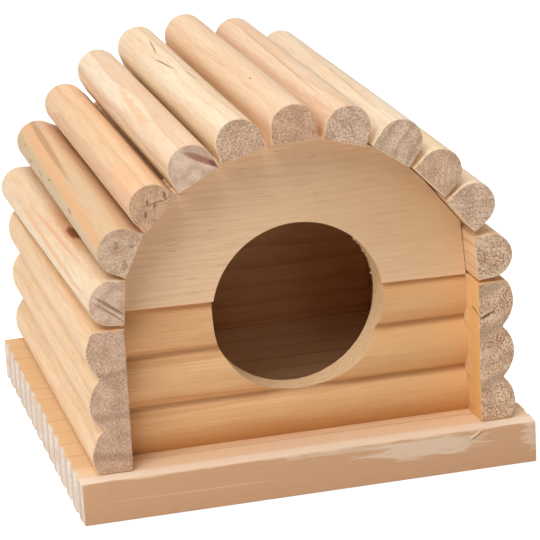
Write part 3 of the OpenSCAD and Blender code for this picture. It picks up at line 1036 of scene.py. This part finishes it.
def wall_timbers():
    left = Timber(
        "left_wall", (-HALF_ROOM, 0, side_low[2]), pith=(30, 62), spacing=5.5, seed=21.0, coarse=0.05,
        painted_groove_shade=0.05, early=(249, 216, 174), late_strength=0.35, streak_strength=0.4,
        end=(226, 190, 162), end_dark=(178, 136, 106), end_late_strength=0.15, end_marks=[
            wall_band(31.6, 4, 1.5, (176, 138, 112), 0.6),
            wall_band(18.4, 2, 1.8, (176, 138, 112), 0.55),
            wall_band(4.6, -8, 2.2, (172, 132, 100), 0.5)],
        side_marks=[
            Mark((242, 180, 130), 0.4, (-11, 0, 36), (3, 75, 2.6), (1, 0, 0), 0.4),
            Mark((236, 174, 120), 0.35, (-11, 10, 20), (3, 70, 2.2), (-1, 0, 0), 0.4),
            Mark((240, 182, 134), 0.3, (-11, -10, 7), (3, 60, 2.0), (1, 0, 0), 0.4)])
    smooth = (198, 162, 132)
    right = Timber(
        "right_wall", (HALF_ROOM, 0, side_low[2]), pith=(-40, -30), spacing=6.5, seed=22.0, coarse=1.1,
        pit_size=0.65, painted_groove_shade=0.1, early=(247, 208, 160), end=(250, 216, 182), end_late_strength=0.1,
        pit_colour=(166, 100, 52), side_marks=[
            Mark((241, 189, 119), 0.95, (0, HOUSE_FRONT / MM, 22), (2, 14, 70), ragged=0.05, softness=0.6),
            Mark((112, 60, 30), 0.85, (0, HOUSE_FRONT / MM + 3.5, 35.6), (1.5, 3.6, 0.5), (-12, 0, 0), 0.4)],
        end_marks=[
            wall_band(41.5, 24, 2.6, smooth, 0.8, True),
            wall_band(28.0, 26, 2.8, smooth, 0.85, True),
            wall_band(11.5, 22, 2.4, smooth, 0.85, True),
            Mark((84, 50, 32), 0.95, (2.2, HOUSE_FRONT / MM, 34.4), (3.4, 12, 0.6), (0, 26, 0), 0.5)])
    return left, right


def end_wall_timbers():
    front = Timber(
        "front_wall", (0, front_high[1], front_low[2]), turn=ALONG_X, pith=(-60, 20), spacing=5.0, seed=23.0,
        early=(249, 203, 151), late=(206, 146, 92), band_colour=(230, 172, 114), band_strength=0.3,
        streak_strength=0.4, painted_groove_shade=0.5, side_marks=[
            Mark((222, 173, 116), 0.7, (10, 60, 22), (16, 90, 44), ragged=0.05, softness=0.95),
            Mark((210, 144, 80), 0.65, (10, 0, 1), (14, 120, 13), ragged=0.05, softness=0.9)])
    back = Timber(
        "back_wall", (0, back_low[1], back_low[2]), turn=ALONG_X, pith=(50, 70), spacing=5.0, seed=24.0,
        early=(255, 210, 162), late=(214, 148, 92), painted_groove_shade=0.4)
    front_panel = Timber(
        "front_arch", (0, arch_low[1], WALL_TOP), turn=ALONG_X, pith=(-24, 80), spacing=2.1, seed=25.0,
        early=(253, 214, 172), late=(214, 160, 112), late_strength=0.22, band_strength=0.1, fleck_amount=0.9,
        streak_strength=0.32, wobble=1.2, side_marks=[
            Mark((216, 174, 128), 0.85, (-4, 44, 26), (14, 78, 50), ragged=0.05, softness=0.95)])
    back_panel = Timber(
        "back_arch", (0, back_arch_low[1], WALL_TOP), turn=ALONG_X, pith=(30, -50), spacing=3.8, seed=26.0,
        early=(255, 216, 174), late=(224, 170, 120), late_strength=0.4, wobble=1.6)
    return front, back, front_panel, back_panel


def base_timber():
    torn = (240, 212, 184)
    # Just under the top face, in the board's millimetres
    top = 13.4
    return Timber(
        "base_board", (0, 0, 0), turn=ALONG_X, pith=(-480, 7), spacing=BASE_RING_SPACING / MM, wobble=0.25,
        seed=27.0, late_start=0.82, early=(236, 198, 154), late=(180, 124, 78), late_strength=0.8,
        end=(240, 226, 214), end_dark=(216, 190, 168), end_late=(202, 170, 144), end_late_strength=0.7,
        end_late_start=0.45, side_marks=[
            Mark((222, 182, 132), 0.6, (0, -72, top), (200, 16, 0.6), ragged=0.1, softness=0.7),
            Mark((246, 214, 180), 0.75, (FRONT_EDGE - 6, 0, top), (13, 200, 0.6), ragged=0.05, softness=0.7),
            Mark((255, 234, 212), 0.7, (FRONT_EDGE - 2, 0, top), (4.6, 200, 0.6), ragged=0.08),
            Mark((214, 164, 124), 0.85, (FRONT_EDGE, 0, 4), (0.5, 400, 60), ragged=0.0, softness=0.3),
            Mark((250, 216, 178), 0.7, (FRONT_EDGE, 0, top), (0.8, 150, 0.8), ragged=0.5),
            Mark(torn, 0.85, (FRONT_EDGE, 36, 9.8), (4, 23, 3.9), (1, 0, 0), 0.35),
            Mark(torn, 0.7, (FRONT_EDGE, 71, 8.4), (4, 5, 5.4), (0, 0, 0), 0.5),
            Mark(torn, 0.5, (FRONT_EDGE, 10, 12.4), (4, 26, 1.0), (0, 0, 0), 0.5),
            Mark(BARK_BROWN, 0.6, (FRONT_EDGE, 52, 11.0), (1.5, 2.8, 0.3), (-32, 0, 0), 0.2),
            Mark((255, 230, 196), 0.9, (FRONT_EDGE, 51.6, 11.6), (1.5, 3.0, 0.4), (-32, 0, 0), 0.2),
            Mark((232, 198, 160), 0.6, (FRONT_EDGE, -38, 6.4), (3, 34, 0.3), (0.4, 0, 0), 0.1)])


def build_house():
    left, right = wall_timbers()
    front, back, front_panel, back_panel = end_wall_timbers()
    side_wall("left_wall", -1, timber_materials(left))
    side_wall("right_wall", 1, timber_materials(right))
    front_siding(timber_materials(front, True))
    back_siding(timber_materials(back))
    arch_panel("front_panel", "front_arch", timber_materials(front_panel, True), True)
    arch_panel("back_panel", "back_arch", timber_materials(back_panel))
    base_board(timber_materials(base_timber()))
    for number in range(1, LOG_COUNT + 1):
        roof_log(number, timber_materials(log_timber(number)))


def dress_fasteners():
    """The dowels, brads and nails keep their own solids, and get a finish."""
    beech = Timber("dowel_beech", (0, 0, 0), turn=(math.pi / 2, 0, 0), spacing=1.2, seed=31.0)
    finishes = {"arch_dowels": long_grain(beech), "wall_brads": steel_material()}
    finishes["base_nails"] = finishes["wall_brads"]
    for node, finish in finishes.items():
        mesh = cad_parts[node].data
        mesh.materials.clear()
        mesh.materials.append(finish)


# Stage ---------------------------------------------------------------------------

PICTURE = 540
# The photograph's camera: where it looks, from which side, how far off, and how long its lens is
CAMERA_TARGET = Vector((1.3, -18.1, 52.6)) * MM
CAMERA_AZIMUTH = math.radians(-13.98)
CAMERA_ELEVATION = math.radians(17.63)
CAMERA_ROLL = math.radians(-2.78)
CAMERA_DISTANCE = 809.9 * MM
FOCAL_PIXELS = 2539.8
CENTRE_PIXEL = (265.5, 277.4)

# Strength of the light from all round, and of the floor's own white near the house, where 1 is white
AMBIENT = 0.08
FLOOR_GLOW = 0.7
# How far from its middle the floor begins and ends to turn to the backdrop's white
FLOOR_FADE = (0.4, 1.4)
FLOOR_HALF_SIZE = 3
FLOOR_DROP = 0.2 * MM
LAMP_TARGET = Vector((0, 0, 0.05))


def add_camera():
    data = bpy.data.cameras.new("camera")
    data.sensor_width = 36
    data.lens = FOCAL_PIXELS / PICTURE * data.sensor_width
    data.shift_x = (PICTURE / 2 - CENTRE_PIXEL[0]) / PICTURE
    data.shift_y = (CENTRE_PIXEL[1] - PICTURE / 2) / PICTURE
    data.clip_start = 0.01
    camera = show("camera", data)
    camera.matrix_world = (
        Matrix.Translation(CAMERA_TARGET)
        @ Matrix.Rotation(CAMERA_AZIMUTH, 4, "Z")
        @ Matrix.Rotation(math.pi / 2 - CAMERA_ELEVATION, 4, "X")
        @ Matrix.Rotation(CAMERA_ROLL, 4, "Z")
        @ Matrix.Translation((0, 0, CAMERA_DISTANCE)))
    bpy.context.scene.camera = camera


def add_softbox(name, place, size, power):
    data = bpy.data.lights.new(name, "AREA")
    data.shape = "RECTANGLE"
    data.size = size
    data.size_y = size
    data.energy = power
    lamp = show(name, data)
    lamp.location = place
    lamp.rotation_euler = (LAMP_TARGET - Vector(place)).to_track_quat("-Z", "Y").to_euler()


def add_world():
    """Even light from all round, and plain white where the camera sees past the floor."""
    world = bpy.data.worlds.new("studio")
    bpy.context.scene.world = world
    world.use_nodes = True
    tree = world.node_tree
    tree.nodes.clear()
    rays = tree.nodes.new("ShaderNodeLightPath").outputs
    seen = maths("MAXIMUM", rays["Is Camera Ray"], rays["Is Glossy Ray"])
    seen = maths("MAXIMUM", seen, rays["Is Transmission Ray"])
    strength = maths("MULTIPLY_ADD", seen, 1.0 - AMBIENT, AMBIENT)
    background = put("ShaderNodeBackground", {"Color": (1, 1, 1, 1), "Strength": strength})
    put("ShaderNodeOutputWorld", {"Surface": background.outputs[0]})


def add_floor():
    """A plain pale floor that keeps the house's shadow, and turns to the backdrop's white far from it."""
    bm = bmesh.new()
    bmesh.ops.create_grid(bm, x_segments=1, y_segments=1, size=FLOOR_HALF_SIZE)
    mesh = bpy.data.meshes.new("floor")
    bm.to_mesh(mesh)
    bm.free()
    material, tree = new_material("floor_paper")
    shader = tree.nodes["Principled BSDF"]
    connect(shader, {"Base Color": (0.9, 0.9, 0.9, 1), "Roughness": 0.9, "Specular IOR Level": 0.0})
    rays = tree.nodes.new("ShaderNodeLightPath").outputs
    seen = maths("MAXIMUM", rays["Is Camera Ray"], rays["Is Glossy Ray"])
    away = length_of(tree.nodes.new("ShaderNodeTexCoord").outputs["Object"])
    strength = times(seen, fade(away, *FLOOR_FADE, FLOOR_GLOW, 1.0))
    glow = put("ShaderNodeEmission", {"Color": (1, 1, 1, 1), "Strength": strength})
    both = put("ShaderNodeAddShader", {0: shader.outputs[0], 1: glow.outputs[0]})
    connect(tree.nodes["Material Output"], {"Surface": both.outputs[0]})
    mesh.materials.append(material)
    floor = show("floor", mesh)
    floor.location.z = -FLOOR_DROP


def light_the_stage():
    add_world()
    add_floor()
    add_softbox("top_softbox", (0.1, 0.2, 1.1), 0.9, 5.4)
    add_softbox("key_softbox", (-0.5, -0.62, 1.0), 0.7, 10.2)
    add_softbox("left_softbox", (-1.0, 0.1, 0.45), 0.7, 2.2)


add_camera()
light_the_stage()
build_house()
dress_fasteners()
bpy.context.scene.view_settings.view_transform = "Standard"
